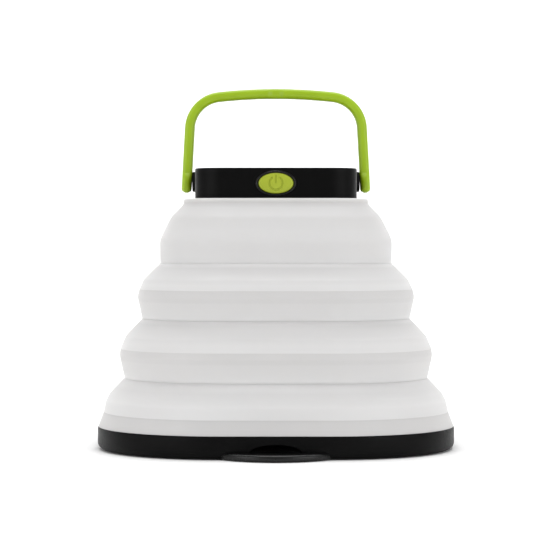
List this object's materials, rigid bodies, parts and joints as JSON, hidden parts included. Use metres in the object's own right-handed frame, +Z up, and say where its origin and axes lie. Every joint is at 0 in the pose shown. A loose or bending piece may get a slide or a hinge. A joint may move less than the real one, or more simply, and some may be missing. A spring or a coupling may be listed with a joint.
{
  "type": "collapsible camping lantern",
  "caption": "Collapsible camping lantern: stepped frosted silicone shade between a wide black base and a low black head, with a lime green bail handle and oval button.",
  "frame": {"origin": "on the lantern's vertical axis, at the plane that its feet stand on", "axes": "+Z up towards the head, +X through the right-hand handle pivot, -Y towards the power button and the pull tab"},
  "size_m": [0.1132, 0.1207, 0.1152],
  "materials": {
    "black_shell": "fine matte moulded texture",
    "black_rubber": "soft matte rubber",
    "reflector_white": "white reflective sheet",
    "screw_steel": "zinc plated",
    "white_silicone": "frosted translucent silicone, satin",
    "solar_cell": "dark blue silicon under a clear layer",
    "clear_layer": "clear epoxy over the cells",
    "board_green": "solder mask",
    "cell_foil": "pouch foil",
    "foam": "closed-cell foam",
    "socket_steel": "pressed nickel-plated steel",
    "board_white": "white solder mask on aluminium",
    "chip_yellow": "phosphor over a white package",
    "frosted_lens": "frosted clear diffuser",
    "wire": "insulated wire",
    "clear_pipe": "clear acrylic",
    "lime_plastic": "satin moulded lime green"
  },
  "bodies": {
    "base": {"base_tray": "black_shell", "foot_pads": "black_rubber", "reflector_plate": "reflector_white", "clamp_ring": "black_shell", "base_screws": "screw_steel", "shade_tier_4": "white_silicone"},
    "tier_3": {"shade_tier_3": "white_silicone", "shade_fold_4": "white_silicone"},
    "tier_2": {"shade_tier_2": "white_silicone", "shade_fold_3": "white_silicone"},
    "tier_1": {"shade_tier_1": "white_silicone", "shade_fold_2": "white_silicone"},
    "head": {"shade_collar": "white_silicone", "shade_fold_1": "white_silicone", "top_housing": "black_shell", "lower_cover": "black_shell", "head_screws": "screw_steel", "solar_panel": "solar_cell", "panel_glazing": "clear_layer", "circuit_board": "board_green", "battery_cell": "cell_foil", "battery_pad": "foam", "tact_switch": "black_shell", "usb_socket": "socket_steel", "light_board": "board_white", "light_chips": "chip_yellow", "light_diffuser": "frosted_lens", "light_leads": "wire", "charge_light_pipe": "clear_pipe", "pivot_right": "black_shell", "pivot_left": "black_shell"},
    "handle": {"handle": "lime_plastic"},
    "power_button": {"power_button": "lime_plastic"},
    "port_cover": {"port_cover": "black_rubber"}
  },
  "joints": [
    {"name": "collapse", "type": "slide", "parent": "base", "child": "tier_3", "axis": [0, 0, -1], "range_m": [0, 0.018], "deforming": ["shade_fold_4"]},
    {"name": "collapse_tier_2", "type": "slide", "parent": "tier_3", "child": "tier_2", "axis": [0, 0, -1], "range_m": [0, 0.018], "deforming": ["shade_fold_3"]},
    {"name": "collapse_tier_1", "type": "slide", "parent": "tier_2", "child": "tier_1", "axis": [0, 0, -1], "range_m": [0, 0.0175], "deforming": ["shade_fold_2"]},
    {"name": "collapse_head", "type": "slide", "parent": "tier_1", "child": "head", "axis": [0, 0, -1], "range_m": [0, 0.012], "deforming": ["shade_fold_1"]},
    {"name": "handle_hinge", "type": "hinge", "parent": "head", "child": "handle", "pos_m": [0, 0, 0.085], "axis": [1, 0, 0], "range_deg": [-78, 90]},
    {"name": "button_press", "type": "slide", "parent": "head", "child": "power_button", "axis": [0, 1, 0], "range_m": [0, 0.0008], "stiffness_N_per_m": 600},
    {"name": "port_cover_hinge", "type": "hinge", "parent": "head", "child": "port_cover", "pos_m": [0.0063, 0.0254, 0.0836], "axis": [0, 0, -1], "range_deg": [0, 110]}
  ],
  "couplings": [
    {"joint": "collapse_tier_2", "follows": "collapse", "ratio": 1},
    {"joint": "collapse_tier_1", "follows": "collapse", "ratio": 0.97222},
    {"joint": "collapse_head", "follows": "collapse", "ratio": 0.66667}
  ]
}
